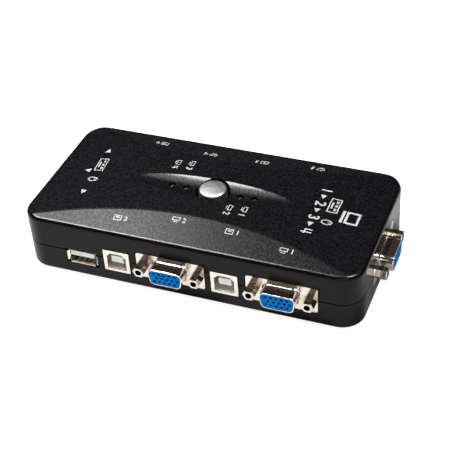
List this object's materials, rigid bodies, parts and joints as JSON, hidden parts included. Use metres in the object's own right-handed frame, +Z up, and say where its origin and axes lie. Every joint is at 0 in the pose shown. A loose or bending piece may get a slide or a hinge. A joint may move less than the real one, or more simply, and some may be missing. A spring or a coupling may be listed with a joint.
{
  "type": "kvm switch",
  "caption": "Low black two-shell desktop switch box with video and USB sockets round its sides, a round push button and lamps in a lens-shaped scoop on its arched lid.",
  "frame": {"origin": "centre of the bounding box's base, on the surface that the rubber feet stand on", "axes": "+X along the case towards the end with the monitor socket, +Y to the back, +Z up"},
  "size_m": [0.158, 0.086, 0.0325],
  "materials": {
    "case_black": "fine spark-eroded texture",
    "rubber": "matt",
    "nickel": "bright nickel plate on pressed steel",
    "screw_steel": "zinc plated",
    "chrome_cap": "satin chrome plate",
    "vga_blue": "semi-gloss",
    "white_plastic": "semi-gloss",
    "black_plastic": "moulded",
    "board_green": "solder resist on glass-epoxy",
    "contact_gold": "gold flash",
    "spring_steel": "bright strip",
    "can_aluminium": "satin",
    "lamp_clear": "water-clear epoxy"
  },
  "bodies": {
    "housing": {"top_cover": "case_black", "bottom_cover": "case_black", "case_screws": "screw_steel", "board_screws": "screw_steel", "rubber_feet": "rubber", "circuit_board": "board_green", "video_switch_chips": "black_plastic", "hub_chip": "black_plastic", "controller_chip": "black_plastic", "crystal": "can_aluminium", "capacitors": "can_aluminium", "switch_base": "black_plastic", "snap_dome": "spring_steel", "switch_cover": "spring_steel", "switch_legs": "spring_steel", "indicator_led_1": "lamp_clear", "indicator_led_2": "lamp_clear", "indicator_led_3": "lamp_clear", "indicator_led_4": "lamp_clear", "led_leads": "spring_steel", "screwlocks": "nickel", "pc1_vga_shell": "nickel", "pc1_vga_block": "vga_blue", "pc1_vga_contacts": "contact_gold", "pc2_vga_shell": "nickel", "pc2_vga_block": "vga_blue", "pc2_vga_contacts": "contact_gold", "pc3_vga_shell": "nickel", "pc3_vga_block": "vga_blue", "pc3_vga_contacts": "contact_gold", "pc4_vga_shell": "nickel", "pc4_vga_block": "vga_blue", "pc4_vga_contacts": "contact_gold", "monitor_vga_shell": "nickel", "monitor_vga_block": "vga_blue", "monitor_vga_contacts": "contact_gold", "pc1_usb_b_shell": "nickel", "pc1_usb_b_block": "white_plastic", "pc1_usb_b_contacts": "contact_gold", "pc2_usb_b_shell": "nickel", "pc2_usb_b_block": "white_plastic", "pc2_usb_b_contacts": "contact_gold", "pc3_usb_b_shell": "nickel", "pc3_usb_b_block": "white_plastic", "pc3_usb_b_contacts": "contact_gold", "pc4_usb_b_shell": "nickel", "pc4_usb_b_block": "white_plastic", "pc4_usb_b_contacts": "contact_gold", "front_usb_a_shell": "nickel", "front_usb_a_block": "white_plastic", "front_usb_a_contacts": "contact_gold", "back_usb_a_shell": "nickel", "back_usb_a_block": "white_plastic", "back_usb_a_contacts": "contact_gold", "end_usb_a_shell": "nickel", "end_usb_a_block": "white_plastic", "end_usb_a_contacts": "contact_gold"},
    "select_button": {"button_cap": "chrome_cap", "button_plunger": "black_plastic", "switch_actuator": "black_plastic"}
  },
  "joints": [
    {"name": "button_press", "type": "slide", "parent": "housing", "child": "select_button", "axis": [0, 0, -1], "range_m": [0, 0.0005], "stiffness_N_per_m": 1800, "springref_m": -0.0006, "deforming": ["snap_dome"]}
  ]
}
